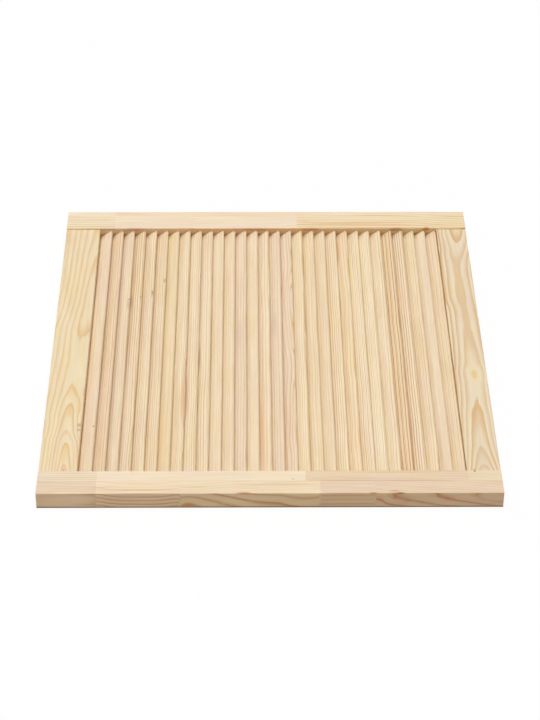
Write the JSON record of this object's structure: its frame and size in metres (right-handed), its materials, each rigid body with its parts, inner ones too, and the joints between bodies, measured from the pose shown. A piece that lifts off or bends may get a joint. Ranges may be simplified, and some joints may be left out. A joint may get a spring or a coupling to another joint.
{
  "type": "louvred cabinet door",
  "caption": "Louvred door in solid pine: two stiles and two rails, dowelled at the corners, hold a row of tilted slats in oblique blind mortises.",
  "frame": {"origin": "middle of the door's back, in the plane of the stiles' back faces on which it lies", "axes": "+X down the door's height, from the top rail to the bottom rail; +Y across its width, from the left stile to the right stile as seen from the front; +Z out of its front"},
  "size_m": [0.54, 0.594, 0.022],
  "materials": {
    "stile_pine": "bare sanded pine, glued up from finger-jointed strips",
    "rail_pine": "bare sanded pine with arched grain",
    "slat_pine": "bare sanded pine with fine straight grain",
    "dowel_beech": "bare fluted beech"
  },
  "bodies": {
    "root": {"left_stile": "stile_pine", "right_stile": "stile_pine", "top_rail": "rail_pine", "bottom_rail": "rail_pine", "slat_01": "slat_pine", "slat_02": "slat_pine", "slat_03": "slat_pine", "slat_04": "slat_pine", "slat_05": "slat_pine", "slat_06": "slat_pine", "slat_07": "slat_pine", "slat_08": "slat_pine", "slat_09": "slat_pine", "slat_10": "slat_pine", "slat_11": "slat_pine", "slat_12": "slat_pine", "slat_13": "slat_pine", "slat_14": "slat_pine", "slat_15": "slat_pine", "slat_16": "slat_pine", "slat_17": "slat_pine", "slat_18": "slat_pine", "slat_19": "slat_pine", "slat_20": "slat_pine", "slat_21": "slat_pine", "slat_22": "slat_pine", "slat_23": "slat_pine", "slat_24": "slat_pine", "slat_25": "slat_pine", "slat_26": "slat_pine", "slat_27": "slat_pine", "slat_28": "slat_pine", "slat_29": "slat_pine", "slat_30": "slat_pine", "dowel_top_left_outer": "dowel_beech", "dowel_top_left_inner": "dowel_beech", "dowel_top_right_outer": "dowel_beech", "dowel_top_right_inner": "dowel_beech", "dowel_bottom_left_outer": "dowel_beech", "dowel_bottom_left_inner": "dowel_beech", "dowel_bottom_right_outer": "dowel_beech", "dowel_bottom_right_inner": "dowel_beech"}
  },
  "joints": []
}
